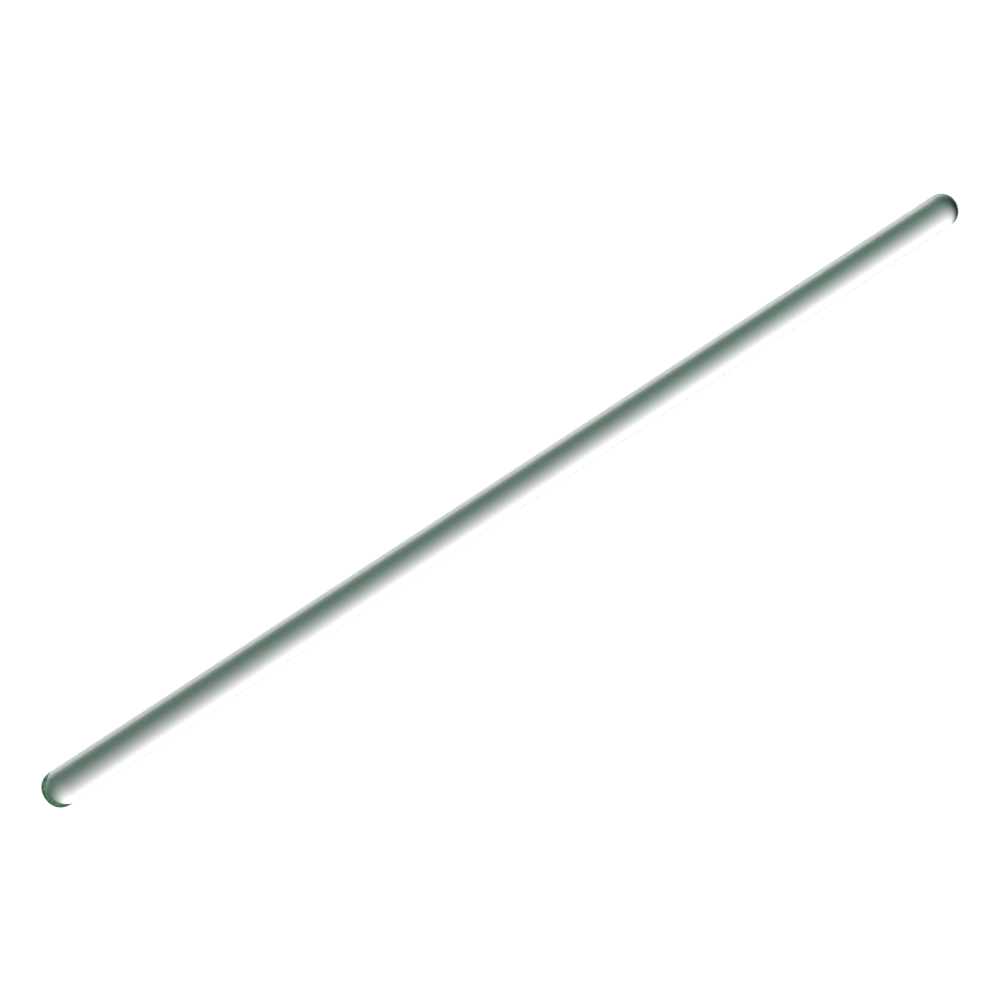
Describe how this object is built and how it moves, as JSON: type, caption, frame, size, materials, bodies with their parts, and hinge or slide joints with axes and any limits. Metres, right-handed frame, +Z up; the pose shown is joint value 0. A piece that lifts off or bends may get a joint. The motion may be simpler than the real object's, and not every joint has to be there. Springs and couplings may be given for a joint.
{
  "type": "glass stirring rod",
  "caption": "Slim solid glass stirring rod with a straight round shank and fire-polished domed ends.",
  "frame": {"origin": "under the middle of the rod, on the surface that it lies on", "axes": "+X along the rod's axis, +Z up from the surface that it lies on, +Y across the rod"},
  "size_m": [0.2, 0.006, 0.006],
  "materials": {
    "glass": "clear pale green, fire-polished"
  },
  "bodies": {
    "root": {"glass_rod": "glass"}
  },
  "joints": []
}
